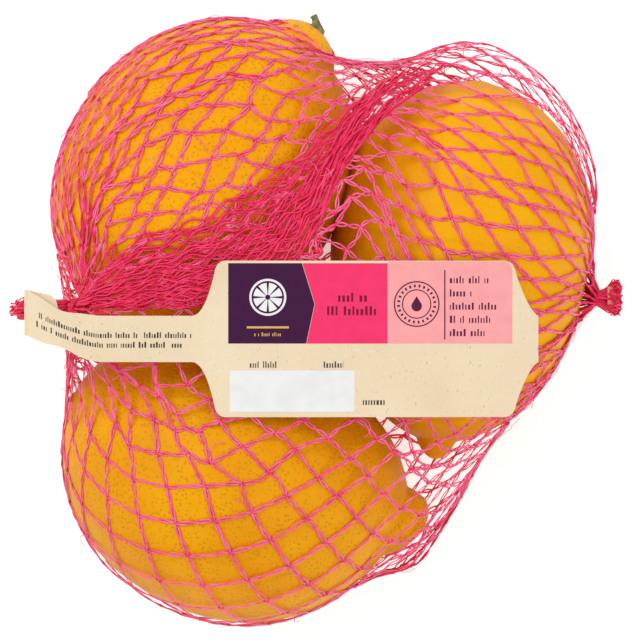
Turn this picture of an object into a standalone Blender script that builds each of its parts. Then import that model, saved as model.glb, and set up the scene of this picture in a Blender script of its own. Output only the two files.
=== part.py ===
"""A net bag of three lemons with a paper band label, lying on its side.

The net is a tube of knitted plastic mesh, gathered at its left and right ends. It is modelled as
one closed skin drawn tight round the three lemons that it holds. The paper label lies across the
top. Its narrow left end curls down over the gathered neck of the net and is folded under itself.

Units are metres, +Z is up, and the origin is on the ground under the middle of the bag.
"""

import math

import bmesh
import bpy
import numpy as np
from mathutils import Vector
from mathutils.bvhtree import BVHTree

MM = 0.001
GAP = 0.3 * MM

# The fruit. Each lies on its side with its stem towards "heading" and its tip the other way.
NET_THICKNESS = 0.8 * MM
LYING_FLAT = 0.5 * MM
LEMONS = (
    {
        "centre": (-28.9 * MM, 34.6 * MM),
        "heading": 53.0,
        "radius": 34.0 * MM,
        "stem_body": 40.6 * MM,
        "tip_body": 40.6 * MM,
        "stem_reach": 45.8 * MM,
        "tip_reach": 45.0 * MM,
        "stem_radius": 13.0 * MM,
        "tip_radius": 8.0 * MM,
        "bend": 0.0,
    },
    {
        "centre": (34.6 * MM, 18.6 * MM),
        "heading": 83.0,
        "radius": 31.8 * MM,
        "stem_body": 39.0 * MM,
        "tip_body": 47.0 * MM,
        "stem_reach": 40.0 * MM,
        "tip_reach": 53.0 * MM,
        "stem_radius": 12.0 * MM,
        "tip_radius": 8.0 * MM,
        "bend": 0.0,
    },
    {
        "centre": (-22.7 * MM, -39.4 * MM),
        "heading": 160.5,
        "radius": 34.0 * MM,
        "stem_body": 42.4 * MM,
        "tip_body": 42.4 * MM,
        "stem_reach": 43.5 * MM,
        "tip_reach": 51.5 * MM,
        "stem_radius": 9.0 * MM,
        "tip_radius": 11.0 * MM,
        "bend": -6.5 * MM,
    },
)
BEND_REACH = 48.0 * MM
STEM_SHOWS = LEMONS[0]

# The loose net that stands off the right-hand fruit, the taut net past the tip of the lower left
# fruit, and the two gathered necks.
SLACK_CENTRE = (36.5 * MM, 32.0 * MM, 32.0 * MM)
SLACK_SIZE = (32.0 * MM, 37.0 * MM, 20.0 * MM)
SLACK_ROUNDNESS = 1.8
TAUT_ROOT = (20.0 * MM, -55.5 * MM, 33.0 * MM)
TAUT_ROOT_RADIUS = 6.9 * MM
TAUT_END = (38.0 * MM, -37.0 * MM, 33.0 * MM)
TAUT_END_RADIUS = 1.2 * MM
LEFT_NECK = (-60.4 * MM, 3.2 * MM, 57.0 * MM)
LEFT_NECK_RADIUS = 3.0 * MM
LEFT_NECK_ROOT = (-44.0 * MM, 2.0 * MM, 42.0 * MM)
LEFT_ROOT_RADIUS = 17.0 * MM
RIGHT_NECK = (67.6 * MM, 5.5 * MM, 33.0 * MM)
RIGHT_NECK_RADIUS = 2.4 * MM
RIGHT_NECK_ROOT = (50.0 * MM, 6.0 * MM, 33.0 * MM)
RIGHT_ROOT_RADIUS = 17.0 * MM

# The skin starts as a ball round everything and is drawn in.
SKIN_SUBDIVISIONS = 5
SKIN_START = (88.0 * MM, 88.0 * MM, 48.0 * MM)
SKIN_START_HEIGHT = 34.0 * MM
SKIN_STEPS = 420
SKIN_TENSION = 0.5

# The gathered ends of the net.
TAIL_SIDES = 14
TAIL_RINGS = 14
LEFT_TAIL_END = (-74.6 * MM, 2.4 * MM, 45.0 * MM)
LEFT_TAIL_RADIUS = 2.0 * MM
LEFT_TUFT_RADIUS = 2.9 * MM
LEFT_TAIL_FLATNESS = 0.85
RIGHT_TAIL_END = (74.6 * MM, 5.2 * MM, 33.4 * MM)
RIGHT_TAIL_RADIUS = 1.6 * MM
RIGHT_TUFT_RADIUS = 3.4 * MM
RIGHT_TAIL_FLATNESS = 1.0
TUFT_OPENS = (0.55, 0.8)
TUFT_CLOSES = (0.85, 1.0)
PLEAT_DEPTH = 0.12
PLEAT_UNEVENNESS = 0.06
PLEAT_TWIST = 9.0

# The weld that closes the right-hand end.
WELD_WIDTH = 1.5 * MM
WELD_WALL = 0.6 * MM
WELD_SIDES = 20

# The dry stem button on the upper left fruit, which pokes out through the net.
BUTTON_RAY = 100.0 * MM
BUTTON_PROFILE = ((0.0, 2.0), (0.9, 1.9), (1.3, 1.2), (2.3, 0.8), (2.6, 0.0))
BUTTON_SIDES = 20
BUTTON_LEAN = 40.0
BUTTON_LEAN_ROOM = 1.0 * MM

# The paper band: a panel with sloped shoulders, a strip to the left that narrows to a waist and
# ends in a head, and a short flap folded under the head.
PAPER = 0.45 * MM
LABEL_HEIGHT = 67.5 * MM
PANEL_FALL = 2.2 * MM
LABEL_MIDDLE_Y = -4.5 * MM
PANEL_LEFT = -25.0 * MM
PANEL_RIGHT = 46.5 * MM
PANEL_HALF_WIDTH = 18.6 * MM
LABEL_RIGHT = 52.0 * MM
STRIP_HALF_WIDTH = 5.5 * MM
SHOULDER_LENGTH = 5.6 * MM
LEFT_SHOULDER_CURVE = 2.3
RIGHT_SHOULDER_CURVE = 1.6
CORNER_RADIUS = 2.6 * MM
STRIP_BEND_X = -52.0 * MM
WAIST_X = -61.5 * MM
WAIST_REACH = 4.0 * MM
WAIST_NARROWING = 1.1 * MM
LABEL_LEFT = -70.3 * MM
HEAD_DROP = 11.5 * MM
HEAD_VEER = 6.2 * MM
LABEL_STATIONS = 240
FOLD_RADIUS = 0.6 * MM
FOLD_STEPS = 8
FLAP_RIGHT = -62.6 * MM
FLAP_VEER = -1.6 * MM
FLAP_STATIONS = 24


def smoothstep(low, high, value):
    """0 below low, 1 above high, and a smooth rise between."""
    t = min(1.0, max(0.0, (value - low) / (high - low)))
    return t * t * (3.0 - 2.0 * t)


def new_collection(name):
    collection = bpy.data.collections.new(name)
    bpy.context.scene.collection.children.link(collection)
    return collection


def material(name, colour, roughness):
    made = bpy.data.materials.new(name)
    made.use_nodes = True
    shader = made.node_tree.nodes["Principled BSDF"]
    shader.inputs["Base Color"].default_value = (*colour, 1.0)
    shader.inputs["Roughness"].default_value = roughness
    shader.inputs["Metallic"].default_value = 0.0
    return made


def add_object(name, bm, looks, collection):
    """Turns a bmesh into a smooth-shaded object with one material."""
    bmesh.ops.recalc_face_normals(bm, faces=bm.faces)
    mesh = bpy.data.meshes.new(name)
    bm.to_mesh(mesh)
    bm.free()
    mesh.materials.append(looks)
    mesh.shade_smooth()
    mesh.set_sharp_from_angle(angle=math.radians(40.0))
    made = bpy.data.objects.new(name, mesh)
    collection.objects.link(made)
    return made


# ---------------------------------------------------------------- the net round the fruit


def fruit_radius(fruit, along):
    """A lemon's radius at distances along its axis: an oval body with a knob at each end."""
    towards_stem = along >= 0.0
    body_end = np.where(towards_stem, fruit["stem_body"], fruit["tip_body"])
    body = fruit["radius"] * np.sqrt(np.clip(1.0 - (along / body_end) ** 2, 0.0, None))
    reach = np.where(towards_stem, fruit["stem_reach"], fruit["tip_reach"])
    knob = np.where(towards_stem, fruit["stem_radius"], fruit["tip_radius"])
    knob = knob * np.clip(1.0 - (along / reach) ** 8, 0.0, None) ** 0.5
    return (body**3 + knob**3) ** (1.0 / 3.0)


def fruit_frame(fruit):
    """A lemon's centre, its axis towards the stem, and the level direction across it."""
    turn = math.radians(fruit["heading"])
    height = fruit["radius"] + NET_THICKNESS - LYING_FLAT
    centre = np.array((*fruit["centre"], height))
    axis = np.array((math.cos(turn), math.sin(turn), 0.0))
    side = np.array((-math.sin(turn), math.cos(turn), 0.0))
    return centre, axis, side


def fruit_end(fruit, along):
    """The point just off a lemon's end, bent with its axis."""
    centre, axis, side = fruit_frame(fruit)
    return centre + along * axis + fruit["bend"] * abs(along / BEND_REACH) ** 3 * side


def push_out_of_fruit(points, fruit):
    """Moves the points that are inside a lemon out to just above its skin."""
    centre, axis, side = fruit_frame(fruit)
    from_centre = points - centre
    along = from_centre @ axis
    bend = fruit["bend"] * np.abs(along / BEND_REACH) ** 3
    across = from_centre @ side - bend
    up = from_centre[:, 2]
    distance = np.hypot(across, up) + 1e-9
    wanted = fruit_radius(fruit, along) + NET_THICKNESS
    reach = np.where(along >= 0.0, fruit["stem_reach"], fruit["tip_reach"]) + NET_THICKNESS
    inside = (distance < wanted) & (np.abs(along) < reach)
    past_end = reach - np.abs(along)
    sideways = inside & (wanted - distance < 3.0 * past_end)
    grow = np.where(sideways, wanted / distance, 1.0)
    across = across * grow
    up = up * grow
    along = np.where(inside & ~sideways, np.sign(along) * reach, along)
    moved = centre + np.outer(along, axis)
    moved += np.outer(across + bend, side)
    moved[:, 2] += up
    return np.where(inside[:, None], moved, points)


def push_out_of_ball(points, centre, size, power):
    """Moves the points that are inside a stretched ball out to its surface. Power 2 is an ellipsoid."""
    centre = np.array(centre)
    scaled = (points - centre) / np.array(size)
    level = (np.abs(scaled) ** power).sum(axis=1) ** (1.0 / power) + 1e-9
    moved = centre + (points - centre) / level[:, None]
    return np.where((level < 1.0)[:, None], moved, points)


def push_out_of_cone(points, root, root_radius, tip, tip_radius):
    """Moves the points that are inside a round-ended cone out to its surface."""
    root, tip = np.array(root), np.array(tip)
    line = tip - root
    share = np.clip((points - root) @ line / (line @ line), 0.0, 1.0)
    middle = root + np.outer(share, line)
    wanted = root_radius + (tip_radius - root_radius) * share
    distance = np.linalg.norm(points - middle, axis=1) + 1e-9
    moved = middle + (points - middle) * (wanted / distance)[:, None]
    return np.where((distance < wanted)[:, None], moved, points)


def neck_end(root, neck, radius):
    """The point where the skin ends on a neck, at its far side from the fruit."""
    root, neck = np.array(root), np.array(neck)
    return neck + radius * (neck - root) / np.linalg.norm(neck - root)


def drawn_in(points, neighbours):
    """Draws a closed skin tight round the fruit, the necks and the loose fold, over the ground."""
    held = (
        neck_end(LEFT_NECK_ROOT, LEFT_NECK, LEFT_NECK_RADIUS),
        neck_end(RIGHT_NECK_ROOT, RIGHT_NECK, RIGHT_NECK_RADIUS),
        fruit_end(STEM_SHOWS, STEM_SHOWS["stem_reach"] + NET_THICKNESS),
    )
    pins = [np.linalg.norm(points - place, axis=1).argmin() for place in held]
    for _ in range(SKIN_STEPS):
        pulled = points[neighbours].mean(axis=1)
        points = points + SKIN_TENSION * (pulled - points)
        for fruit in LEMONS:
            points = push_out_of_fruit(points, fruit)
        points = push_out_of_ball(points, SLACK_CENTRE, SLACK_SIZE, SLACK_ROUNDNESS)
        points = push_out_of_cone(points, TAUT_ROOT, TAUT_ROOT_RADIUS, TAUT_END, TAUT_END_RADIUS)
        points = push_out_of_cone(
            points, LEFT_NECK_ROOT, LEFT_ROOT_RADIUS, LEFT_NECK, LEFT_NECK_RADIUS
        )
        points = push_out_of_cone(
            points, RIGHT_NECK_ROOT, RIGHT_ROOT_RADIUS, RIGHT_NECK, RIGHT_NECK_RADIUS
        )
        points[:, 2] = np.maximum(points[:, 2], 0.0)
        points[pins] = held
    return points


def ring_of_neighbours(bm):
    """Six neighbours for each vertex; a vertex with five repeats its first."""
    rows = []
    for vertex in bm.verts:
        around = [edge.other_vert(vertex).index for edge in vertex.link_edges]
        rows.append((around + around)[:6])
    return np.array(rows)


def build_net(collection):
    """The closed skin of the net, with the fruit that fills it."""
    bm = bmesh.new()
    bmesh.ops.create_icosphere(bm, subdivisions=SKIN_SUBDIVISIONS, radius=1.0)
    bm.verts.ensure_lookup_table()
    ball = np.array([vertex.co for vertex in bm.verts])
    ball = ball / np.linalg.norm(ball, axis=1)[:, None]
    start = ball * np.array(SKIN_START)
    start[:, 2] = np.maximum(start[:, 2] + SKIN_START_HEIGHT, 0.0)
    skin = drawn_in(start, ring_of_neighbours(bm))
    for vertex, place in zip(bm.verts, skin):
        vertex.co = place
    looks = material("net_and_fruit", (0.85, 0.34, 0.02), 0.5)
    return add_object("net_bag", bm, looks, collection)


# ---------------------------------------------------------------- the gathered ends


def lofted(sections):
    """A closed body through rings of points that all have the same number of points."""
    bm = bmesh.new()
    rings = [[bm.verts.new(point) for point in section] for section in sections]
    count = len(rings[0])
    for first, second in zip(rings, rings[1:]):
        for i in range(count):
            j = (i + 1) % count
            bm.faces.new((first[i], first[j], second[j], second[i]))
    bm.faces.new(list(reversed(rings[0])))
    bm.faces.new(rings[-1])
    return bm


def build_tail(name, start, end, neck_radius, tuft_radius, flatness, looks, collection):
    """A gathered bundle of net: a pleated neck that opens into a short tuft."""
    start, end = Vector(start), Vector(end)
    along = (end - start).normalized()
    sideways = Vector((0.0, 1.0, 0.0))
    upward = along.cross(sideways).normalized()
    sideways = upward.cross(along)
    sections = []
    for ring in range(TAIL_RINGS + 1):
        t = ring / TAIL_RINGS
        middle = start.lerp(end, t)
        radius = neck_radius + (tuft_radius - neck_radius) * smoothstep(*TUFT_OPENS, t)
        radius = radius * (1.0 - 0.5 * smoothstep(*TUFT_CLOSES, t))
        section = []
        for k in range(TAIL_SIDES):
            turn = 2.0 * math.pi * k / TAIL_SIDES
            pleat = 1.0 + PLEAT_DEPTH * math.cos(math.pi * k)
            pleat += PLEAT_UNEVENNESS * math.sin(3.0 * turn + PLEAT_TWIST * t)
            across = radius * pleat * math.cos(turn)
            up = radius * pleat * math.sin(turn) * flatness
            section.append(middle + sideways * across + upward * up)
        sections.append(section)
    return add_object(name, lofted(sections), looks, collection)


def build_weld(collection, looks):
    """The collar that closes the right-hand neck, a short ring round the bundle."""
    inner = RIGHT_TAIL_RADIUS * 1.2 + GAP
    outer = inner + WELD_WALL
    start = RIGHT_NECK[0] + RIGHT_NECK_RADIUS + 2.0 * GAP
    corners = (
        (start, inner),
        (start, outer),
        (start + WELD_WIDTH, outer),
        (start + WELD_WIDTH, inner),
    )
    bm = bmesh.new()
    rings = []
    for x, radius in corners:
        ring = []
        for k in range(WELD_SIDES):
            turn = 2.0 * math.pi * k / WELD_SIDES
            across, up = radius * math.cos(turn), radius * math.sin(turn)
            ring.append(bm.verts.new((x, RIGHT_NECK[1] + across, RIGHT_NECK[2] + up)))
        rings.append(ring)
    for first, second in zip(rings, rings[1:] + rings[:1]):
        for k in range(WELD_SIDES):
            j = (k + 1) % WELD_SIDES
            bm.faces.new((first[k], first[j], second[j], second[k]))
    return add_object("weld", bm, looks, collection)


def build_stem_button(net, collection, looks):
    """The turned calyx and stub of stem, standing just off the net at the fruit's end."""
    centre, axis, _ = fruit_frame(STEM_SHOWS)
    centre, out = Vector(centre), Vector(axis)
    corners = [vertex.co for vertex in net.data.vertices]
    faces = [face.vertices for face in net.data.polygons]
    skin = BVHTree.FromPolygons(corners, faces)
    end = skin.ray_cast(centre + out * BUTTON_RAY, -out)[0]
    bm = bmesh.new()
    profile = [bm.verts.new((radius * MM, 0.0, up * MM)) for up, radius in reversed(BUTTON_PROFILE)]
    profile.append(bm.verts.new((0.0, 0.0, 0.0)))
    for first, second in zip(profile, profile[1:]):
        bm.edges.new((first, second))
    button = add_object("stem_button", bm, looks, collection)
    screw = button.modifiers.new("turned", "SCREW")
    screw.steps = BUTTON_SIDES
    screw.render_steps = BUTTON_SIDES
    screw.use_merge_vertices = True
    screw.merge_threshold = 0.00001
    button.location = end + out * (GAP + BUTTON_LEAN_ROOM)
    button.rotation_euler = (0.0, math.radians(90.0), math.radians(STEM_SHOWS["heading"] + BUTTON_LEAN))
    return button


# ---------------------------------------------------------------- the paper label


def label_height(x):
    """The height of the paper's underside: level, then curling down over the left-hand neck."""
    fall = min(1.0, max(0.0, (STRIP_BEND_X - x) / (STRIP_BEND_X - LABEL_LEFT)))
    slope = PANEL_FALL * max(0.0, x - PANEL_LEFT) / (PANEL_RIGHT - PANEL_LEFT)
    return LABEL_HEIGHT - HEAD_DROP * fall**2 - slope


def label_middle(x):
    """The middle line of the band, which veers a little at its left end."""
    fall = max(0.0, (STRIP_BEND_X - x) / (STRIP_BEND_X - LABEL_LEFT))
    return LABEL_MIDDLE_Y + HEAD_VEER * fall**1.5


def rounded_corner(distance):
    """How much a corner of CORNER_RADIUS takes off the width at this distance from the side's end."""
    if distance >= CORNER_RADIUS:
        return 0.0
    return CORNER_RADIUS - math.sqrt(CORNER_RADIUS**2 - (CORNER_RADIUS - distance) ** 2)


def label_half_width(x):
    """The panel, its two sloped shoulders, the strips, the waist over the neck and the head."""
    if PANEL_LEFT <= x <= PANEL_RIGHT:
        return PANEL_HALF_WIDTH - rounded_corner(min(x - PANEL_LEFT, PANEL_RIGHT - x))
    if x < STRIP_BEND_X:
        waist = math.exp(-(((x - WAIST_X) / WAIST_REACH) ** 2))
        return STRIP_HALF_WIDTH - WAIST_NARROWING * waist
    on_left = x < PANEL_LEFT
    outside = PANEL_LEFT - x if on_left else x - PANEL_RIGHT
    curve = LEFT_SHOULDER_CURVE if on_left else RIGHT_SHOULDER_CURVE
    left_to_go = max(0.0, 1.0 - outside / SHOULDER_LENGTH) ** curve
    shoulder = PANEL_HALF_WIDTH - CORNER_RADIUS - STRIP_HALF_WIDTH
    return STRIP_HALF_WIDTH + shoulder * left_to_go


def paper_section(x, middle, half, inner, outer):
    """The four corners of the paper across its length; inner and outer are (shift in x, height)."""
    return (
        (x + inner[0], middle - half, inner[1]),
        (x + inner[0], middle + half, inner[1]),
        (x + outer[0], middle + half, outer[1]),
        (x + outer[0], middle - half, outer[1]),
    )


def build_label(collection, looks):
    """The band from its right end to the head, round the fold, and back along the flap below."""
    sections = []
    for k in range(LABEL_STATIONS + 1):
        x = LABEL_RIGHT + (LABEL_LEFT - LABEL_RIGHT) * k / LABEL_STATIONS
        low = label_height(x)
        sections.append(
            paper_section(x, label_middle(x), label_half_width(x), (0.0, low), (0.0, low + PAPER))
        )
    fold_middle = label_middle(LABEL_LEFT)
    fold_half = label_half_width(LABEL_LEFT)
    fold_height = label_height(LABEL_LEFT) + PAPER / 2.0 - FOLD_RADIUS
    for k in range(1, FOLD_STEPS):
        turn = math.pi * k / FOLD_STEPS
        inner, outer = (
            (-radius * math.sin(turn), fold_height + radius * math.cos(turn))
            for radius in (FOLD_RADIUS - PAPER / 2.0, FOLD_RADIUS + PAPER / 2.0)
        )
        sections.append(paper_section(LABEL_LEFT, fold_middle, fold_half, inner, outer))
    for k in range(FLAP_STATIONS + 1):
        share = k / FLAP_STATIONS
        x = LABEL_LEFT + (FLAP_RIGHT - LABEL_LEFT) * share
        middle = fold_middle + FLAP_VEER * share
        half = fold_half - rounded_corner(FLAP_RIGHT - x)
        low = label_height(x) - 2.0 * FOLD_RADIUS
        sections.append(paper_section(x, middle, half, (0.0, low + PAPER), (0.0, low)))
    return add_object("label", lofted(sections), looks, collection)


def main():
    for old in list(bpy.data.objects):
        bpy.data.objects.remove(old)
    bag = new_collection("net_of_lemons")
    pink = material("net_pink", (0.85, 0.03, 0.18), 0.45)
    kraft = material("kraft_paper", (0.84, 0.67, 0.45), 0.85)
    peach = material("weld_peach", (0.85, 0.45, 0.35), 0.5)
    stem = material("dry_stem", (0.16, 0.17, 0.07), 0.9)
    net = build_net(bag)
    left_end = neck_end(LEFT_NECK_ROOT, LEFT_NECK, LEFT_NECK_RADIUS)
    right_end = neck_end(RIGHT_NECK_ROOT, RIGHT_NECK, RIGHT_NECK_RADIUS)
    build_tail(
        "net_tail_left",
        Vector(left_end) + GAP * (Vector(LEFT_TAIL_END) - Vector(left_end)).normalized(),
        LEFT_TAIL_END,
        LEFT_TAIL_RADIUS,
        LEFT_TUFT_RADIUS,
        LEFT_TAIL_FLATNESS,
        pink,
        bag,
    )
    build_tail(
        "net_tail_right",
        Vector(right_end) + Vector((GAP, 0.0, 0.0)),
        RIGHT_TAIL_END,
        RIGHT_TAIL_RADIUS,
        RIGHT_TUFT_RADIUS,
        RIGHT_TAIL_FLATNESS,
        pink,
        bag,
    )
    build_weld(bag, peach)
    build_stem_button(net, bag, stem)
    build_label(bag, kraft)


main()
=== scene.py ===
"""The looks of a net bag of three lemons with a paper band label. Units are metres, +Z is up."""

import math

import bpy
import numpy as np
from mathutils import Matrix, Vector
from mathutils.bvhtree import BVHTree


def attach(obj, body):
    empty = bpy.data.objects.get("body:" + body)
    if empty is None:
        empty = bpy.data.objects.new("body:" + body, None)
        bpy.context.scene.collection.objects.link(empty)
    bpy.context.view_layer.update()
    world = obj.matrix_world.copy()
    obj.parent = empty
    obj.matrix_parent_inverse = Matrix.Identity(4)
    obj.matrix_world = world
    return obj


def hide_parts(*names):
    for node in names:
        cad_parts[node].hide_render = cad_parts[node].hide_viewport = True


MM = 0.001

# The fruit. "along" runs from the tip (negative) to the stem (positive) of each lemon.
NET_CLEARANCE = 0.8 * MM
LYING_FLAT = 0.5 * MM
FRUIT_RINGS = 220
FRUIT_SIDES = 220
LEMONS = (
    {
        "name": "lemon_upper_left",
        "centre": (-28.9 * MM, 34.6 * MM),
        "heading": 53.0,
        "radius": 34.0 * MM,
        "stem_body": 40.8 * MM,
        "tip_body": 40.8 * MM,
        "stem_reach": 46.5 * MM,
        "tip_reach": 45.0 * MM,
        "stem_radius": 13.0 * MM,
        "tip_radius": 8.0 * MM,
        "bend": 0.0,
        "seed": 3,
        "pores": 1.0,
        "deep": (0.88, 0.335, 0.002),
        "bright": (0.95, 0.415, 0.003),
    },
    {
        "name": "lemon_right",
        "centre": (34.6 * MM, 18.6 * MM),
        "heading": 83.0,
        "radius": 31.8 * MM,
        "stem_body": 40.0 * MM,
        "tip_body": 48.5 * MM,
        "stem_reach": 40.6 * MM,
        "tip_reach": 53.2 * MM,
        "stem_radius": 11.0 * MM,
        "tip_radius": 7.5 * MM,
        "bend": 0.0,
        "seed": 8,
        "pores": 0.3,
        "deep": (0.87, 0.37, 0.002),
        "bright": (0.94, 0.45, 0.003),
    },
    {
        "name": "lemon_lower_left",
        "centre": (-22.7 * MM, -39.4 * MM),
        "heading": 160.5,
        "radius": 34.0 * MM,
        "stem_body": 42.6 * MM,
        "tip_body": 42.4 * MM,
        "stem_reach": 43.8 * MM,
        "tip_reach": 49.5 * MM,
        "stem_radius": 9.0 * MM,
        "tip_radius": 11.5 * MM,
        "bend": -6.5 * MM,
        "seed": 15,
        "pores": 1.0,
        "deep": (0.81, 0.315, 0.002),
        "bright": (0.89, 0.395, 0.003),
    },
)
BEND_REACH = 48.0 * MM

# The net: a tube of diamond mesh, with its columns round the tube and its rows along it.
COLUMNS = 52
ROWS = 26
MESH_SIDE = 8.9 * MM
RELAX_STEPS = 160
GATHER_REACH = 45.0 * MM
MID_HEIGHT = 33.0 * MM
ABOVE_GROUND = 0.05 * MM
UNEVENNESS = 1.1 * MM
LEFT_NECK = (-60.4 * MM, 3.2 * MM, 57.0 * MM)
RIGHT_NECK = (67.6 * MM, 5.5 * MM, 33.0 * MM)
LEFT_TAIL_END = (-75.2 * MM, 2.4 * MM, 44.8 * MM)
RIGHT_TAIL_END = (74.9 * MM, 5.2 * MM, 33.4 * MM)

# Columns whose routes over the bag are given in millimetres in plan, from the left neck to
# the right one. "over" legs lie on top, "edge" legs on the outline and "under" legs below.
ROUTES = (
    (
        0.0,
        ("edge", ((-67, 30), (-55, 58), (-32, 74), (0, 74))),
        ("under", ((16, 56), (30, 50), (44, 45), (54, 33), (62, 18))),
    ),
    (
        4.0,
        ("over", ((-60, 38), (-46, 60), (-22, 71), (2, 69))),
        ("edge", ((14, 60),)),
        ("under", ((28, 60), (44, 57), (56, 43), (65, 24))),
    ),
    (
        9.0,
        ("over", ((-54, 28), (-36, 48), (-12, 60), (8, 60))),
        ("edge", ((18, 59), (30, 68), (46, 67), (60, 54), (69, 32))),
    ),
    (
        11.0,
        (
            "over",
            ((-50, 21), (-31, 35), (-10, 47), (8, 53), (19, 57), (31, 59), (46, 57), (59, 44), (67.5, 27)),
        ),
    ),
    (
        13.0,
        (
            "over",
            ((-48, 15), (-28, 22), (-8, 32), (7, 44), (17, 53), (30, 50), (46, 44), (59, 34), (68, 22)),
        ),
    ),
    (
        16.0,
        (
            "over",
            ((-46.5, 11), (-26, 13), (-10, 23), (2, 36), (12, 48), (27, 41), (44, 26), (58, 19), (68, 15)),
        ),
    ),
    (
        19.0,
        (
            "over",
            ((-45.5, 7.5), (-26, 8), (-11, 15), (0, 26), (9, 38), (21, 23), (38, 3), (55, 3), (68, 7)),
        ),
    ),
    (
        22.0,
        (
            "over",
            ((-44.5, 4), (-26, 3.5), (-11, 7), (2, 14), (13, 20), (22, 0), (37, -14), (54, -8), (65, 1)),
        ),
    ),
    (24.0, ("over", ((-45, -2), (-27, -8), (0, -10), (17, -10), (34, -24), (52, -15), (63, -4)))),
    (28.0, ("over", ((-50, -12), (-39, -34), (-11, -47), (14, -45), (31, -40), (47, -28), (61, -9)))),
    (30.0, ("over", ((-57, -18), (-48, -48), (-18, -66), (12, -62), (31, -47), (47, -31), (61, -12)))),
    (32.0, ("edge", ((-66, -30), (-52, -60), (-22, -76), (8, -72), (31, -55), (41, -37), (63, -14)))),
    (36.0, ("under", ((-60, -28), (-46, -54), (-18, -69), (10, -65), (29, -50), (45, -31), (61, -12)))),
    (39.0, ("under", ((-54, -16), (-38, -42), (-8, -52), (16, -44), (38, -24), (57, -6)))),
    (42.0, ("under", ((-50, -6), (-24, -20), (6, -16), (32, -8), (55, 0)))),
    (47.0, ("under", ((-52, 12), (-28, 20), (6, 22), (30, 24), (54, 12)))),
)
CROWDED_ROWS = 0.5
GATHERED_SPACING = 2.6 * MM
STRAYS = 170

# The mass of collapsed mesh that runs from the left neck below the upper left fruit and up the
# valley beside it, as the routes of its two edges.
COLLAPSED_UPPER = ((-47, 14), (-29, 23), (-15, 32), (-5, 39), (3.5, 47.5), (10, 55), (20, 62), (34, 68))
COLLAPSED_LOWER = ((-44.5, 3), (-26, 4), (-12, 10), (-4.5, 16.5), (0.8, 26), (5, 36.5), (16, 50), (31, 61))
COLLAPSED_STRANDS = 60
COLLAPSED_STEPS = 110

# One side of the mesh: two flat filaments that part, cross at the middle and meet in the knots.
FILAMENT_WIDTH = 0.24 * MM
FILAMENT_DEPTH = 0.14 * MM
FILAMENT_STEPS = 9
FILAMENT_PART = 0.46 * MM
STRAND_HEIGHT = 0.42 * MM
KNOT_LENGTH = 1.05 * MM
KNOT_WIDTH = 0.42 * MM

# The stem's rings: step, radius, how starry, and lean from the fruit's axis in degrees.
STEM_SIDES = 30
STEM_RINGS = (
    (0.0, 0.05, 0.0, 0.0),
    (0.0, 2.5, 0.18, 0.0),
    (0.8, 2.4, 0.18, 10.0),
    (0.5, 1.4, 0.08, 30.0),
    (0.7, 0.95, 0.0, 45.0),
    (1.0, 0.85, 0.0, 55.0),
    (0.8, 0.9, 0.05, 60.0),
    (0.1, 0.05, 0.0, 60.0),
)

# The paper band, as the CAD's label node has it.
PAPER = 0.45 * MM
LABEL_HEIGHT = 67.5 * MM
PANEL_FALL = 2.2 * MM
LABEL_MIDDLE_Y = -4.5 * MM
PANEL_LEFT = -25.0 * MM
PANEL_RIGHT = 46.5 * MM
STRIP_BEND_X = -52.0 * MM
LABEL_LEFT = -70.3 * MM
HEAD_DROP = 11.5 * MM
HEAD_VEER = 6.2 * MM

INK_TOP = 0.03 * MM
INK_SUNK = -0.05 * MM

# The camera looks straight down.
CAMERA_HEIGHT = 1.05
PICTURE_WIDTH = 157.6 * MM
PICTURE_HEIGHT_LEVEL = 32.0 * MM
SENSOR = 36.0


def smoothstep(low, high, value):
    """0 below low, 1 above high, and a smooth rise between."""
    t = np.clip((value - low) / (high - low), 0.0, 1.0)
    return t * t * (3.0 - 2.0 * t)


def mesh_object(name, vertices, faces, material, smooth=True):
    """A mesh object from an array of points and an array of faces that all have as many corners."""
    vertices = np.asarray(vertices, np.float32)
    faces = np.asarray(faces, np.int32)
    mesh = bpy.data.meshes.new(name)
    mesh.vertices.add(len(vertices))
    mesh.vertices.foreach_set("co", vertices.ravel())
    corners = faces.shape[1]
    mesh.loops.add(faces.size)
    mesh.loops.foreach_set("vertex_index", faces.ravel())
    mesh.polygons.add(len(faces))
    mesh.polygons.foreach_set("loop_start", np.arange(0, faces.size, corners, dtype=np.int32))
    mesh.update(calc_edges=True)
    mesh.validate()
    if smooth:
        mesh.shade_smooth()
    mesh.materials.append(material)
    made = bpy.data.objects.new(name, mesh)
    bpy.context.scene.collection.objects.link(made)
    return made


# ---------------------------------------------------------------- materials


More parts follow.
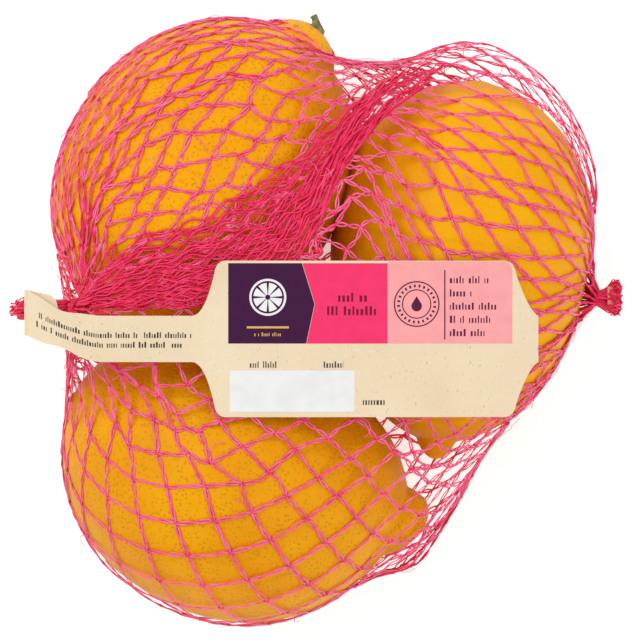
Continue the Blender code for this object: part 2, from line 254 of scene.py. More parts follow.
class Nodes:
    """A short way to build a Principled material's node tree."""

    def __init__(self, name, roughness):
        self.material = bpy.data.materials.new(name)
        self.material.use_nodes = True
        self.tree = self.material.node_tree
        self.shader = self.tree.nodes["Principled BSDF"]
        self.shader.inputs["Roughness"].default_value = roughness

    def add(self, kind, **settings):
        node = self.tree.nodes.new(kind)
        for key, value in settings.items():
            if hasattr(node, key):
                setattr(node, key, value)
            else:
                node.inputs[key.replace("_", " ")].default_value = value
        return node

    def link(self, out, into):
        self.tree.links.new(out, into)

    def place(self):
        return self.add("ShaderNodeTexCoord").outputs["Object"]

    def noise(self, scale, detail=3.0, rough=0.5, stretch=None):
        node = self.add("ShaderNodeTexNoise", Scale=scale, Detail=detail, Roughness=rough)
        place = self.place()
        if stretch:
            mapping = self.add("ShaderNodeMapping", Scale=stretch)
            self.link(place, mapping.inputs["Vector"])
            place = mapping.outputs["Vector"]
        self.link(place, node.inputs["Vector"])
        return node.outputs["Fac"]

    def ramp(self, value, stops, smooth=False):
        node = self.add("ShaderNodeValToRGB")
        if smooth:
            node.color_ramp.interpolation = "EASE"
        elements = node.color_ramp.elements
        while len(elements) < len(stops):
            elements.new(0.5)
        for element, (position, colour) in zip(elements, stops):
            element.position = position
            grey = isinstance(colour, float)
            element.color = (colour, colour, colour, 1.0) if grey else (*colour, 1.0)
        self.link(value, node.inputs["Fac"])
        return node.outputs["Color"]

    def mix(self, share, first, second):
        node = self.add("ShaderNodeMix", data_type="RGBA")
        for value, socket in ((share, node.inputs[0]), (first, node.inputs[6]), (second, node.inputs[7])):
            if isinstance(value, bpy.types.NodeSocket):
                self.link(value, socket)
            elif isinstance(value, tuple):
                socket.default_value = (*value, 1.0)
            else:
                socket.default_value = value
        return node.outputs[2]

    def maths(self, operation, first, second=0.0):
        node = self.add("ShaderNodeMath", operation=operation)
        for value, socket in ((first, node.inputs[0]), (second, node.inputs[1])):
            if isinstance(value, bpy.types.NodeSocket):
                self.link(value, socket)
            else:
                socket.default_value = value
        return node.outputs[0]

    def bump(self, height, strength, distance, under=None):
        node = self.add("ShaderNodeBump", Strength=strength, Distance=distance)
        self.link(height, node.inputs["Height"])
        if under:
            self.link(under, node.inputs["Normal"])
        return node.outputs["Normal"]

    def finish(self, colour, normal=None):
        self.link(colour, self.shader.inputs["Base Color"])
        if normal:
            self.link(normal, self.shader.inputs["Normal"])
        return self.material


def lemon_skin(fruit):
    """Waxy orange-yellow peel with oil pores, and painted shade that makes it deeper in colour low on its
    sides.
    """
    m = Nodes("skin_" + fruit["name"], 0.46)
    m.shader.inputs["Specular IOR Level"].default_value = 0.08
    cloud = m.noise(45.0, 4.0, 0.55)
    base = m.ramp(cloud, ((0.3, fruit["deep"]), (0.7, fruit["bright"])), smooth=True)
    normal = m.add("ShaderNodeNewGeometry").outputs["Normal"]
    facing = m.add("ShaderNodeSeparateXYZ")
    m.link(normal, facing.inputs[0])
    # Painted shade: where the skin faces sideways or down, its colour is mixed up to halfway towards a darker
    # orange.
    side = m.ramp(facing.outputs["Z"], ((0.05, 1.0), (0.62, 0.0)), smooth=True)
    base = m.mix(m.maths("MULTIPLY", side, 0.5), base, (0.62, 0.28, 0.003))
    pores = m.add("ShaderNodeTexVoronoi", Scale=1000.0, Randomness=0.9)
    m.link(m.place(), pores.inputs["Vector"])
    dot = m.ramp(pores.outputs["Distance"], ((0.04, 1.0), (0.5, 0.0)), smooth=True)
    patches = m.ramp(m.noise(160.0, 2.0), ((0.3, 0.45), (0.6, 1.0)))
    share = m.maths("MULTIPLY", m.maths("MULTIPLY", dot, patches), 0.75 * fruit["pores"])
    base = m.mix(share, base, (0.50, 0.22, 0.003))
    scratches = m.noise(260.0, 3.0, 0.6, stretch=(1.0, 0.25, 1.0))
    worn = m.noise(22.0, 2.0)
    scratched = m.ramp(scratches, ((0.66, 0.0), (0.72, 1.0)))
    worn_through = m.ramp(worn, ((0.6, 0.0), (0.68, 1.0)))
    mark = m.maths("MULTIPLY", scratched, worn_through)
    base = m.mix(m.maths("MULTIPLY", mark, 0.5), base, (0.30, 0.12, 0.02))
    pits = m.bump(pores.outputs["Distance"], 0.35 * fruit["pores"], 0.3 * MM)
    waves = m.bump(m.noise(210.0, 2.0), 0.25, 0.6 * MM, under=pits)
    return m.finish(base, waves)


def net_plastic(name, light, dark):
    """Thin drawn plastic with streaks of lighter and darker pink."""
    m = Nodes(name, 0.38)
    m.shader.inputs["Specular IOR Level"].default_value = 0.3
    streak = m.noise(420.0, 2.0, 0.6)
    base = m.ramp(streak, ((0.35, dark), (0.65, light)))
    return m.finish(base, m.bump(m.noise(2600.0, 2.0), 0.2, 0.05 * MM))


def kraft_paper():
    """Pale brown paper with fine dark and light fibres."""
    m = Nodes("kraft_paper", 0.85)
    cloud = m.noise(60.0, 4.0)
    base = m.ramp(cloud, ((0.3, (0.80, 0.645, 0.43)), (0.7, (0.86, 0.71, 0.495))))
    specks = m.ramp(m.noise(1900.0, 2.0, 0.6, stretch=(1.0, 0.45, 1.0)), ((0.66, 0.0), (0.72, 1.0)))
    base = m.mix(m.maths("MULTIPLY", specks, 0.55), base, (0.36, 0.27, 0.17))
    fibres = m.ramp(m.noise(900.0, 2.0, 0.6, stretch=(0.35, 1.0, 1.0)), ((0.64, 0.0), (0.72, 1.0)))
    base = m.mix(m.maths("MULTIPLY", fibres, 0.35), base, (0.93, 0.82, 0.64))
    return m.finish(base, m.bump(m.noise(1500.0, 3.0), 0.15, 0.06 * MM))


def printed(name, colour, roughness=0.6):
    """Flat ink on paper, a little uneven."""
    m = Nodes(name, roughness)
    m.shader.inputs["Specular IOR Level"].default_value = 0.15
    cloud = m.noise(300.0, 3.0)
    darker = tuple(c * 0.94 for c in colour)
    base = m.ramp(cloud, ((0.35, darker), (0.65, colour)))
    return m.finish(base, m.bump(m.noise(1500.0, 3.0), 0.1, 0.05 * MM))


def dry_stem():
    """Dull grey-green bark."""
    m = Nodes("dry_stem", 0.9)
    cloud = m.noise(700.0, 4.0)
    base = m.ramp(cloud, ((0.3, (0.10, 0.09, 0.03)), (0.7, (0.30, 0.29, 0.13))))
    return m.finish(base, m.bump(m.noise(1500.0, 4.0), 0.7, 0.3 * MM))


def weld_plastic():
    """The heat-marked collar that closes the right-hand end of the net."""
    m = Nodes("weld_plastic", 0.45)
    base = m.ramp(m.noise(500.0, 3.0), ((0.3, (0.78, 0.30, 0.22)), (0.7, (0.90, 0.50, 0.38))))
    return m.finish(base, m.bump(m.noise(1200.0, 3.0), 0.4, 0.15 * MM))


def white_floor():
    """A plain pale floor that glows a little, so that it stays even."""
    m = Nodes("pale_floor", 0.9)
    base = m.ramp(m.noise(3.0), ((0.3, (0.93, 0.93, 0.93)), (0.7, (0.94, 0.94, 0.94))))
    m.shader.inputs["Emission Color"].default_value = (1.0, 1.0, 1.0, 1.0)
    m.shader.inputs["Emission Strength"].default_value = 0.42
    return m.finish(base)


# ---------------------------------------------------------------- the fruit


def fruit_frame(fruit):
    """A lemon's centre, its axis towards the stem, and the level direction across it."""
    turn = math.radians(fruit["heading"])
    height = fruit["radius"] + NET_CLEARANCE - LYING_FLAT
    centre = np.array((*fruit["centre"], height))
    axis = np.array((math.cos(turn), math.sin(turn), 0.0))
    side = np.array((-math.sin(turn), math.cos(turn), 0.0))
    return centre, axis, side


def fruit_radius(fruit, along):
    """A lemon's radius at distances along its axis: an oval body with a knob at each end."""
    to_stem = along >= 0.0
    body_end = np.where(to_stem, fruit["stem_body"], fruit["tip_body"])
    body = fruit["radius"] * np.sqrt(np.clip(1.0 - (along / body_end) ** 2, 0.0, None))
    reach = np.where(to_stem, fruit["stem_reach"], fruit["tip_reach"])
    knob = np.where(to_stem, fruit["stem_radius"], fruit["tip_radius"])
    knob = knob * np.clip(1.0 - np.abs(along / reach) ** 6, 0.0, None) ** 0.5
    return (body**3 + knob**3) ** (1.0 / 3.0)


def waviness(fruit, unit, along):
    """Low swells that make each lemon a little uneven, as a share of its radius."""
    rng = np.random.default_rng(fruit["seed"])
    swell = np.zeros(len(along))
    for _ in range(9):
        direction = rng.normal(size=3)
        direction /= np.linalg.norm(direction)
        turns = rng.uniform(1.5, 5.0)
        phase = rng.uniform(0.0, 2.0 * math.pi)
        swell += rng.uniform(0.0015, 0.005) * np.sin(turns * (unit @ direction) + phase)
    return swell


def build_fruit(fruit):
    """A lemon as rings of points along its bent axis, closed at both ends."""
    centre, axis, side = fruit_frame(fruit)
    up = np.array((0.0, 0.0, 1.0))
    spread = np.cos(np.linspace(0.0, math.pi, FRUIT_RINGS + 1))
    middle = (fruit["stem_reach"] - fruit["tip_reach"]) / 2.0
    half = (fruit["stem_reach"] + fruit["tip_reach"]) / 2.0
    along = middle + half * spread
    radius = fruit_radius(fruit, along)
    turn = np.arange(FRUIT_SIDES) * (2.0 * math.pi / FRUIT_SIDES)
    across = np.outer(radius, np.cos(turn)).ravel()
    lift = np.outer(radius, np.sin(turn)).ravel()
    station = np.repeat(along, FRUIT_SIDES)
    bend = fruit["bend"] * np.abs(station / BEND_REACH) ** 3
    unit = np.stack((station / half, across / fruit["radius"], lift / fruit["radius"]), axis=1)
    grow = 1.0 + waviness(fruit, unit, station)
    fade = smoothstep(0.0, 6.0 * MM, half - np.abs(station - middle))
    rib = 0.05 * fade * smoothstep(0.75, 1.0, np.abs(station - middle) / half)
    grow = grow * (1.0 + rib * np.sin(5.0 * np.tile(turn, FRUIT_RINGS + 1) + fruit["seed"]))
    points = centre + np.outer(station, axis) + np.outer(across * grow + bend, side)
    points += np.outer(lift * grow, up)
    first = np.arange(FRUIT_RINGS)[:, None] * FRUIT_SIDES + np.arange(FRUIT_SIDES)[None, :]
    beside = np.roll(first, -1, axis=1)
    faces = np.stack((first, first + FRUIT_SIDES, beside + FRUIT_SIDES, beside), axis=2).reshape(-1, 4)
    made = mesh_object(fruit["name"], points, faces, lemon_skin(fruit))
    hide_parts("net_bag")
    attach(made, "root")
    return made


def off_the_fruit(points, height, reach):
    """Points nearer to a lemon than reach are set at height above its skin."""
    for fruit in LEMONS:
        centre, axis, side = fruit_frame(fruit)
        from_centre = points - centre
        along = from_centre @ axis
        bend = fruit["bend"] * np.abs(along / BEND_REACH) ** 3
        across = from_centre @ side - bend
        up = from_centre[:, 2]
        distance = np.hypot(across, up) + 1e-9
        skin = fruit_radius(fruit, along)
        end = np.where(along >= 0.0, fruit["stem_reach"], fruit["tip_reach"])
        near = (distance < skin + reach) & (np.abs(along) < end - 1.0 * MM)
        wanted = np.where(near, (skin + height) / distance, 1.0)
        wanted = np.clip(wanted, 0.9, 1.25)
        moved = centre + np.outer(along, axis) + np.outer(across * wanted + bend, side)
        moved[:, 2] += up * wanted
        points = np.where(near[:, None], moved, points)
    return points


# ---------------------------------------------------------------- the net


def skin_tree():
    """The CAD skin that the net follows, for nearest points and rays."""
    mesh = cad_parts["net_bag"].data
    corners = [vertex.co.copy() for vertex in mesh.vertices]
    return BVHTree.FromPolygons(corners, [tuple(face.vertices) for face in mesh.polygons])


def on_skin(tree, points):
    """The nearest points of the skin, and its outward normals there."""
    places, normals = np.empty_like(points), np.empty_like(points)
    for k, point in enumerate(points):
        place, normal, _, _ = tree.find_nearest(Vector(point))
        places[k] = place
        normals[k] = normal
    return places, normals


def resampled(line, count):
    """Points evenly spaced along a line."""
    steps = np.linalg.norm(np.diff(line, axis=0), axis=1)
    run = np.concatenate(([0.0], np.cumsum(steps)))
    at = np.linspace(0.0, run[-1], count)
    return np.stack([np.interp(at, run, line[:, k]) for k in range(3)], axis=1)


def gathered_rows(line):
    """Divides a route into rows: drawn out near the necks, and crowded on the upper left fruit."""
    dense = resampled(line, 400)
    from_end = np.minimum(
        np.linalg.norm(dense - dense[0], axis=1), np.linalg.norm(dense - dense[-1], axis=1)
    )
    crowding = 1.0 - 0.24 * (1.0 - smoothstep(0.0, GATHER_REACH, from_end))
    upper = smoothstep(-12.0 * MM, 12.0 * MM, dense[:, 1])
    left = 1.0 - smoothstep(4.0 * MM, 22.0 * MM, dense[:, 0])
    crowding = crowding * (1.0 + CROWDED_ROWS * upper * left)
    run = np.concatenate(([0.0], np.cumsum(0.5 * (crowding[1:] + crowding[:-1]))))
    at = np.linspace(0.0, run[-1], ROWS + 1)
    return np.stack([np.interp(at, run, dense[:, k]) for k in range(3)], axis=1)


def place_on_skin(tree, kind, x, y):
    """The point of the skin at a place in plan: on top, underneath, or out on the outline."""
    place = None
    if kind == "over":
        place = tree.ray_cast(Vector((x, y, 0.2)), Vector((0.0, 0.0, -1.0)))[0]
    elif kind == "under":
        place = tree.ray_cast(Vector((x, y, -0.1)), Vector((0.0, 0.0, 1.0)))[0]
    if place is None:
        place = tree.find_nearest(Vector((x, y, MID_HEIGHT)))[0]
    return np.array(place)


def route_on_skin(tree, legs):
    """A listed route laid on the skin and divided into the rows of the net."""
    places = [np.array(LEFT_NECK)]
    for kind, plan in legs:
        places += [place_on_skin(tree, kind, x * MM, y * MM) for x, y in plan]
    places.append(np.array(RIGHT_NECK))
    dense = resampled(np.array(places), 120)
    for _ in range(12):
        dense[1:-1] = 0.5 * dense[1:-1] + 0.25 * (dense[:-2] + dense[2:])
    dense[1:-1] = on_skin(tree, dense[1:-1])[0]
    return gathered_rows(dense)


def net_nodes(tree):
    """The places of the knots, row by row, settled over the skin."""
    routes = [(column, route_on_skin(tree, legs)) for column, *legs in ROUTES]
    routes.append((routes[0][0] + COLUMNS, routes[0][1]))
    keys = np.array([column for column, _ in routes])
    lines = np.array([line for _, line in routes])
    nodes = np.empty((ROWS + 1, COLUMNS, 3))
    for row in range(ROWS + 1):
        at = np.arange(COLUMNS) + 0.5 * (row % 2)
        for k in range(3):
            nodes[row, :, k] = np.interp(at, keys, lines[:, row, k])
    shape = nodes.shape
    rng = np.random.default_rng(12)
    nodes[1:-1] += rng.normal(0.0, UNEVENNESS, nodes[1:-1].shape)
    flat = on_skin(tree, nodes.reshape(-1, 3))[0]
    home = flat.copy()
    starts, ends = net_sides()
    fixed = np.zeros(shape[:2], bool)
    fixed[0] = True
    fixed[-1] = True
    fixed = fixed.ravel()
    uses = np.bincount(np.concatenate((starts, ends)), minlength=len(flat))[:, None]
    for step in range(RELAX_STEPS):
        line = flat[ends] - flat[starts]
        length = np.linalg.norm(line, axis=1)[:, None] + 1e-9
        stretch = (length - MESH_SIDE) / length
        weight = np.where(length > MESH_SIDE, 0.5, 0.01)
        shift = np.zeros_like(flat)
        np.add.at(shift, starts, weight * stretch * line)
        np.add.at(shift, ends, -weight * stretch * line)
        moved = flat + shift / uses * 1.6 + 0.03 * (home - flat)
        moved[fixed] = home[fixed]
        flat = moved
        if step % 4 == 3:
            flat = on_skin(tree, flat)[0]
    return flat.reshape(shape)


def net_sides():
    """The sides of the diamonds, as the knots at their two ends."""
    starts, ends = [], []
    for row in range(ROWS):
        for column in range(COLUMNS):
            here = row * COLUMNS + column
            shift = 1 if row % 2 else -1
            for other in (column, column + shift):
                starts.append(here)
                ends.append((row + 1) * COLUMNS + other % COLUMNS)
    return np.array(starts), np.array(ends)


def ribbons(lines, normals, half_width, half_depth):
    """Flat four-cornered tubes along many lines at once. lines is (count, steps, 3)."""
    count, steps, _ = lines.shape
    along = np.gradient(lines, axis=1)
    along /= np.linalg.norm(along, axis=2)[..., None] + 1e-12
    across = np.cross(along, normals)
    across /= np.linalg.norm(across, axis=2)[..., None] + 1e-12
    out = np.cross(across, along)
    wide = across * half_width[..., None]
    deep = out * half_depth[..., None]
    ring = np.stack((lines + wide, lines + deep, lines - wide, lines - deep), axis=2)
    ring[..., 2] = np.maximum(ring[..., 2], ABOVE_GROUND)
    vertices = ring.reshape(-1, 3)
    base = (np.arange(count)[:, None, None] * steps + np.arange(steps - 1)[None, :, None]) * 4
    k = np.arange(4)[None, None, :]
    a = base + k
    b = base + (k + 1) % 4
    quads = np.stack((a, b, b + 4, a + 4), axis=3).reshape(-1, 4)
    first = (np.arange(count) * steps * 4)[:, None]
    last = first + (steps - 1) * 4
    caps = np.concatenate((first + np.array([3, 2, 1, 0]), last + np.array([0, 1, 2, 3])))
    return vertices, np.concatenate((quads, caps))


def build_net(tree):
    """The whole net: paired filaments, open or gathered, with the knots, strays and collapsed mesh.

    Returns the material of the gathered net.
    """
    nodes = net_nodes(tree).reshape(-1, 3)
    starts, ends = net_sides()
    rng = np.random.default_rng(21)
    t = np.linspace(0.0, 1.0, FILAMENT_STEPS + 1)
    middle = nodes[starts][:, None, :] * (1.0 - t)[None, :, None] + nodes[ends][:, None, :] * t[None, :, None]
    count = len(starts)
    flat = middle.reshape(-1, 3)
    places, normals = on_skin(tree, flat)
    near = np.linalg.norm(places - flat, axis=1) < 3.0 * MM
    flat = np.where(near[:, None], places, flat)
    normals = normals.reshape(count, -1, 3)
    flat = off_the_fruit(flat, STRAND_HEIGHT, 1.3 * MM)
    middle = flat.reshape(count, -1, 3)
    chord = np.linalg.norm(nodes[ends] - nodes[starts], axis=1)
    slack = np.sqrt(np.clip(MESH_SIDE**2 - chord**2, 0.0, None)) * 0.16
    centre = 0.5 * (nodes[starts] + nodes[ends])
    from_neck = np.minimum(
        np.linalg.norm(centre - np.array(LEFT_NECK), axis=1),
        np.linalg.norm(centre - np.array(RIGHT_NECK), axis=1),
    )
    open_mesh = smoothstep(10.0 * MM, 40.0 * MM, from_neck)
    bow = np.clip(slack, 0.1 * MM, 0.8 * MM) * rng.uniform(-1.0, 1.0, count) * (0.25 + 0.75 * open_mesh)
    along = nodes[ends] - nodes[starts]
    across = np.cross(along[:, None, :], normals)
    across /= np.linalg.norm(across, axis=2)[..., None] + 1e-12
    middle = middle + across * (bow[:, None] * np.sin(math.pi * t)[None, :])[..., None]
    spaced = nodes.reshape(ROWS + 1, COLUMNS, 3)
    spacing = np.linalg.norm(np.roll(spaced, -1, axis=1) - spaced, axis=2).ravel()
    spacing = 0.5 * (spacing[starts] + spacing[ends])
    gathered = spacing < GATHERED_SPACING
    pink = net_plastic("net_pink", (1.0, 0.20, 0.37), (0.98, 0.09, 0.24))
    crimson = net_plastic("net_gathered", (0.95, 0.05, 0.165), (0.84, 0.016, 0.08))
    pieces = []
    for number, sign in enumerate((-1.0, 1.0)):
        part = (FILAMENT_PART * rng.uniform(0.45, 1.25, count) * (0.35 + 0.65 * open_mesh))[:, None]
        sideways = sign * part * np.sin(2.0 * math.pi * t)[None, :]
        lift = sign * 0.14 * MM * np.cos(2.0 * math.pi * t)[None, :]
        line = middle + across * sideways[..., None] + normals * lift[..., None]
        half = FILAMENT_WIDTH * rng.uniform(0.75, 1.2, count)[:, None] * np.ones_like(t)[None, :]
        for kind, chosen, looks in (("open", ~gathered, pink), ("gathered", gathered, crimson)):
            depth = np.full((chosen.sum(), len(t)), FILAMENT_DEPTH)
            vertices, faces = ribbons(line[chosen], normals[chosen], half[chosen], depth)
            pieces.append(mesh_object(f"net_{kind}_{number + 1}", vertices, faces, looks))
    pieces.append(build_knots(nodes, tree))
    pieces.append(build_strays(nodes, tree, pink))
    pieces.append(build_collapsed_mesh(tree, crimson))
    for piece in pieces:
        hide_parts("net_bag")
        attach(piece, "root")
    return crimson


def build_strays(nodes, tree, looks):
    """Loose broken filaments that curl a little way off the net."""
    rng = np.random.default_rng(64)
    roots = nodes[rng.choice(np.arange(COLUMNS, len(nodes) - COLUMNS), STRAYS, replace=False)]
    roots = off_the_fruit(roots, STRAND_HEIGHT, 1.3 * MM)
    _, normals = on_skin(tree, roots)
    steps = 14
    t = np.linspace(0.0, 1.0, steps)
    heading = np.cross(normals, rng.normal(size=normals.shape))
    heading /= np.linalg.norm(heading, axis=1)[:, None]
    beside = np.cross(normals, heading)
    length = rng.uniform(2.5 * MM, 7.5 * MM, STRAYS)[:, None]
    curl = rng.uniform(-3.2, 3.2, STRAYS)[:, None]
    rise = rng.uniform(0.2 * MM, 1.5 * MM, STRAYS)[:, None]
    forward = length * np.sin(curl * t) / curl
    aside = length * (1.0 - np.cos(curl * t)) / curl
    lines = roots[:, None, :] + heading[:, None, :] * forward[..., None] + beside[:, None, :] * aside[..., None]
    flat = on_skin(tree, lines.reshape(-1, 3))[0]
    flat = off_the_fruit(flat, STRAND_HEIGHT, 1.3 * MM).reshape(STRAYS, steps, 3)
    lines = flat + normals[:, None, :] * (rise * np.sin(math.pi * 0.7 * t))[..., None]
    half = np.full((STRAYS, steps), 0.1 * MM)
    vertices, faces = ribbons(lines, np.repeat(normals[:, None, :], steps, axis=1), half, half * 0.7)
    return mesh_object("net_strays", vertices, faces, looks)


def build_collapsed_mesh(tree, looks):
    """Long wavy strands side by side, where the mesh is drawn shut."""
    rng = np.random.default_rng(77)
    edges = []
    for plan in (COLLAPSED_UPPER, COLLAPSED_LOWER):
        places = [np.array(LEFT_NECK)]
        places += [place_on_skin(tree, "over", x * MM, y * MM) for x, y in plan]
        line = resampled(np.array(places), COLLAPSED_STEPS)
        for _ in range(8):
            line[1:-1] = 0.5 * line[1:-1] + 0.25 * (line[:-2] + line[2:])
        edges.append(line)
    t = np.linspace(0.0, 1.0, COLLAPSED_STEPS)
    lines = []
    for _ in range(COLLAPSED_STRANDS):
        share = rng.beta(1.7, 0.9)
        share = share + 0.12 * np.sin(2.0 * math.pi * (rng.uniform(0.6, 1.6) * t + rng.random()))
        share = share + 0.05 * np.sin(2.0 * math.pi * (rng.uniform(9.0, 16.0) * t + rng.random()))
        share = np.clip(share, -0.1, 1.04)[:, None]
        cut = rng.uniform(0.72, 1.0)
        whole = edges[0] * (1.0 - share) + edges[1] * share
        at = t * cut
        lines.append(np.stack([np.interp(at, t, whole[:, k]) for k in range(3)], axis=1))
    flat, normals = on_skin(tree, np.array(lines).reshape(-1, 3))
    flat = off_the_fruit(flat, STRAND_HEIGHT, 1.3 * MM).reshape(COLLAPSED_STRANDS, COLLAPSED_STEPS, 3)
    normals = normals.reshape(flat.shape)
    swing = rng.uniform(0.0, 2.0 * math.pi, COLLAPSED_STRANDS)[:, None]
    lift = rng.uniform(0.1, 0.9, COLLAPSED_STRANDS)[:, None] * MM
    lift = lift * (1.0 + 0.5 * np.sin(60.0 * t[None, :] + swing)) * smoothstep(0.0, 0.1, t)[None, :]
    flat = flat + normals * lift[..., None]
    half = rng.uniform(0.16, 0.3, COLLAPSED_STRANDS)[:, None] * MM * np.ones_like(t)[None, :]
    vertices, faces = ribbons(flat, normals, half, half * 0.55)
    return mesh_object("net_collapsed", vertices, faces, looks)


def build_knots(nodes, tree):
    """A small drawn-out blob at each crossing."""
    inner = nodes.reshape(ROWS + 1, COLUMNS, 3)
    following = np.roll(inner, -1, axis=0)[1:-1] - np.roll(inner, 1, axis=0)[1:-1]
    centres = inner[1:-1].reshape(-1, 3)
    along = following.reshape(-1, 3)
    _, normals = on_skin(tree, centres)
    centres = off_the_fruit(centres, STRAND_HEIGHT, 1.3 * MM)
    along /= np.linalg.norm(along, axis=1)[:, None] + 1e-12
    t = np.linspace(-1.0, 1.0, 7)
    lines = centres[:, None, :] + along[:, None, :] * (t * KNOT_LENGTH)[None, :, None]
    half = np.tile(KNOT_WIDTH * np.sqrt(1.03 - t**2), (len(centres), 1))
    normals = np.repeat(normals[:, None, :], len(t), axis=1)
    vertices, faces = ribbons(lines, normals, half, half * 0.8)
    material = net_plastic("net_knots", (0.90, 0.045, 0.17), (0.76, 0.018, 0.09))
    return mesh_object("net_knots", vertices, faces, material)


def bundle(start, end, count, neck, spread, opens, seed):
    """Gathered mesh: many thin filaments that leave a tight neck and open into a ragged tuft."""
    rng = np.random.default_rng(seed)
    start, end = np.array(start), np.array(end)
    along = (end - start) / np.linalg.norm(end - start)
    sideways = np.cross(along, (0.0, 0.0, 1.0))
    sideways /= np.linalg.norm(sideways)
    upward = np.cross(sideways, along)
    steps = 16
    t = np.linspace(0.0, 1.0, steps)
    lines, normals = [], []
    for _ in range(count):
        turn = rng.uniform(0.0, 2.0 * math.pi)
        depth = math.sqrt(rng.uniform(0.05, 1.0))
        opened = smoothstep(*opens, t)
        radius = depth * (neck + (spread - neck) * opened) * (1.0 + 0.15 * np.sin(7.0 * t + turn))
        angle = turn + 0.9 * opened * rng.uniform(-1.0, 1.0)
        reach = np.linalg.norm(end - start) * rng.uniform(0.72, 1.0)
        run = reach * np.sin(t * math.pi * rng.uniform(0.5, 0.78)) * (1.0 - 0.12 * opened * depth)
        out = np.outer(np.cos(angle), sideways) + np.outer(np.sin(angle), upward)
        lines.append(start + np.outer(run, along) + out * radius[:, None])
        normals.append(out)
    lines, normals = np.array(lines), np.array(normals)
    half = FILAMENT_WIDTH * rng.uniform(0.8, 1.3, count)[:, None] * np.ones(steps)[None, :]
    vertices, faces = ribbons(lines, normals, half, half * 0.6)
    return vertices, faces


def build_gathers(looks):
    """The two gathered ends of the net."""
    for side, neck, far, width, spread, opens, seed in (
        ("left", LEFT_NECK, LEFT_TAIL_END, 1.7 * MM, 2.7 * MM, (0.3, 1.0), 31),
        ("right", RIGHT_NECK, RIGHT_TAIL_END, 1.9 * MM, 4.1 * MM, (0.0, 0.6), 47),
    ):
        vertices, faces = bundle(neck, far, 140, width, spread, opens, seed)
        made = mesh_object(f"net_tuft_{side}", vertices, faces, looks)
        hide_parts(f"net_tail_{side}")
        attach(made, "root")


def build_stem():
    """The dry calyx on the upper left fruit's stem end, and the stub of stem that leans from it."""
    centre, axis, side = fruit_frame(LEMONS[0])
    up = np.array((0.0, 0.0, 1.0))
    turn = np.arange(STEM_SIDES) * (2.0 * math.pi / STEM_SIDES)
    place = centre + (LEMONS[0]["stem_reach"] - 0.6 * MM) * axis
    rings = []
    for step, radius, star, lean in STEM_RINGS:
        way = math.radians(lean)
        forward = axis * math.cos(way) + side * math.sin(way)
        beside = side * math.cos(way) - axis * math.sin(way)
        place = place + forward * step * MM
        reach = radius * MM * (1.0 + star * np.cos(5.0 * turn))
        rings.append(place + np.outer(reach * np.cos(turn), beside) + np.outer(reach * np.sin(turn), up))
    points = np.concatenate(rings)
    first = np.arange(len(rings) - 1)[:, None] * STEM_SIDES + np.arange(STEM_SIDES)[None, :]
    beside = np.roll(first, -1, axis=1)
    faces = np.stack((first, first + STEM_SIDES, beside + STEM_SIDES, beside), axis=2).reshape(-1, 4)
    made = mesh_object("stem", points, faces, dry_stem())
    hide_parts("stem_button")
    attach(made, "root")


# ---------------------------------------------------------------- the label


def label_height(x):
    """The height of the paper's underside: level, then curling down over the left-hand neck."""
    fall = np.clip((STRIP_BEND_X - x) / (STRIP_BEND_X - LABEL_LEFT), 0.0, 1.0)
    slope = PANEL_FALL * np.maximum(0.0, x - PANEL_LEFT) / (PANEL_RIGHT - PANEL_LEFT)
    return LABEL_HEIGHT - HEAD_DROP * fall**2 - slope


def label_middle(x):
    """The middle line of the band, which veers a little at its left end."""
    fall = np.maximum(0.0, (STRIP_BEND_X - x) / (STRIP_BEND_X - LABEL_LEFT))
    return LABEL_MIDDLE_Y + HEAD_VEER * fall**1.5


def printed_plates(name, outlines, material):
    """Thin plates of ink on the paper, one for each outline, which is a list of (x, y) in metres."""
    vertices, faces = [], []
    for outline in outlines:
        count = len(outline)
        base = len(vertices)
        for lift in (INK_TOP, INK_SUNK):
            for x, y in outline:
                vertices.append((x, y, float(label_height(x)) + PAPER + lift))
        faces.append(tuple(range(base, base + count)))
        faces.append(tuple(range(base + 2 * count - 1, base + count - 1, -1)))
        for k in range(count):
            j = (k + 1) % count
            faces.append((base + k, base + count + k, base + count + j, base + j))
    mesh = bpy.data.meshes.new(name)
    mesh.from_pydata(vertices, [], faces)
    mesh.materials.append(material)
    made = bpy.data.objects.new(name, mesh)
    bpy.context.scene.collection.objects.link(made)
    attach(made, "root")
    return made


def rectangle(left, right, low, high):
    return [(left, low), (right, low), (right, high), (left, high)]


def ring_sector(centre, inner, outer, start, end, steps):
    """A piece of a flat ring between two turns, in degrees, anticlockwise."""
    arc = [math.radians(start + (end - start) * k / steps) for k in range(steps + 1)]
    out = [(centre[0] + outer * math.cos(a), centre[1] + outer * math.sin(a)) for a in arc]
    back = [(centre[0] + inner * math.cos(a), centre[1] + inner * math.sin(a)) for a in reversed(arc)]
    return out + back


def ring(centre, inner, outer):
    """A whole flat ring, as twelve sectors."""
    return [ring_sector(centre, inner, outer, 30 * k, 30 * k + 30, 4) for k in range(12)]


def ticks(left, right, middle, height, rng, slope=None):
    """A row of small upright dashes, which stands for a line of small print."""
    marks = []
    x = left
    while x < right:
        wide = height * rng.uniform(0.13, 0.32)
        if rng.random() < 0.13:
            x += height * 0.5
            continue
        tall = height * rng.choice((0.7, 0.7, 1.0))
        rise = slope(x) if slope else 0.0
        rise_end = slope(x + wide) if slope else 0.0
        low = middle - height / 2.0
        marks.append(
            [
                (x, low + rise),
                (min(x + wide, right), low + rise_end),
                (min(x + wide, right), low + tall + rise_end),
                (x, low + tall + rise),
            ]
        )
        x += wide + height * 0.22
    return marks


def citrus_wheel(centre, radius):
    """A slice of fruit: a rind and eight wedges with rounded corners left plain."""
    shapes = ring(centre, radius * 0.88, radius)
    for k in range(8):
        shapes.append(ring_sector(centre, radius * 0.14, radius * 0.78, 45 * k + 5, 45 * k + 40, 5))
    return shapes


